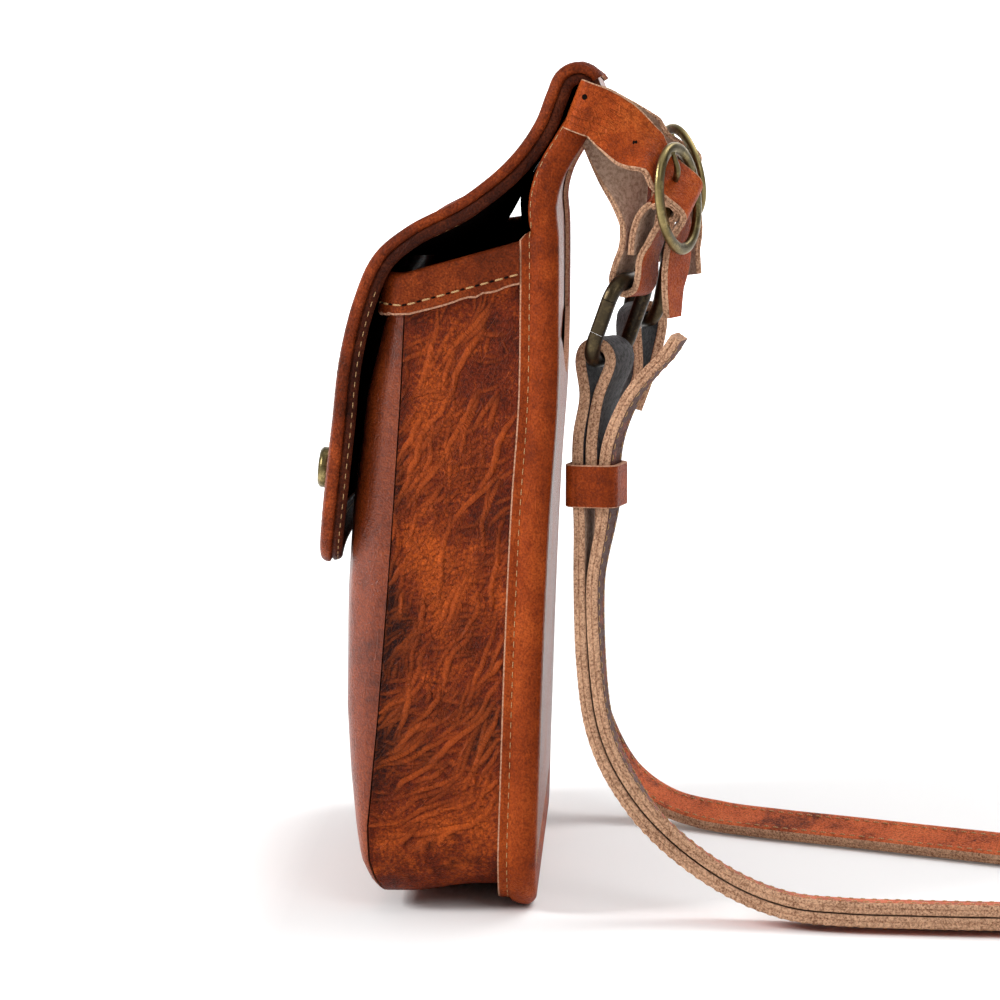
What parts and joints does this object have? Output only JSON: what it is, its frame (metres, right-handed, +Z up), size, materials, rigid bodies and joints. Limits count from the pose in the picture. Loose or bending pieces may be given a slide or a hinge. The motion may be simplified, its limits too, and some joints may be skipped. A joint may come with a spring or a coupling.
{
  "type": "crossbody bag",
  "caption": "Small upright crossbody bag in pull-up leather: a flap over the front, side gusset, snap hooks on strap tabs and a long shoulder strap laid out behind.",
  "frame": {"origin": "on the floor, under the bag's bottom, at its middle", "axes": "+Z up, -Y towards the flap's front, +Y towards the laid-out strap, +X towards the side that the picture shows"},
  "size_m": [0.2189, 0.4492, 0.2507],
  "materials": {
    "body_leather": "waxed, creased",
    "binding_leather": "waxed, smooth",
    "strap_leather": "waxed, worn",
    "antique_brass": "antique",
    "dark_bronze": "dark, worn"
  },
  "bodies": {
    "bag": {"back_flap_panel": "body_leather", "gusset": "body_leather", "front_panel": "body_leather", "back_pocket": "body_leather", "back_binding": "binding_leather", "flap_binding": "binding_leather", "mouth_band": "binding_leather", "keeper": "binding_leather", "near_connector": "strap_leather", "far_connector": "strap_leather", "short_strap": "strap_leather", "long_strap": "strap_leather", "lock_stud": "antique_brass", "near_buckle": "antique_brass", "near_prong": "antique_brass", "far_buckle": "antique_brass", "far_prong": "antique_brass", "strap_buckle": "antique_brass", "near_hook": "dark_bronze", "far_hook": "dark_bronze"},
    "near_gate": {"near_gate": "dark_bronze"},
    "far_gate": {"far_gate": "dark_bronze"}
  },
  "joints": [
    {"name": "near_gate_swing", "type": "hinge", "parent": "bag", "child": "near_gate", "pos_m": [0.08999, 0.04585, 0.1822], "axis": [0.3797, 0.8529, -0.3584], "range_deg": [0, 25], "stiffness_Nm_per_rad": 0.002},
    {"name": "far_gate_swing", "type": "hinge", "parent": "bag", "child": "far_gate", "pos_m": [-0.08999, 0.05384, 0.18408], "axis": [0.3797, -0.8984, 0.2205], "range_deg": [0, 25], "stiffness_Nm_per_rad": 0.002}
  ]
}
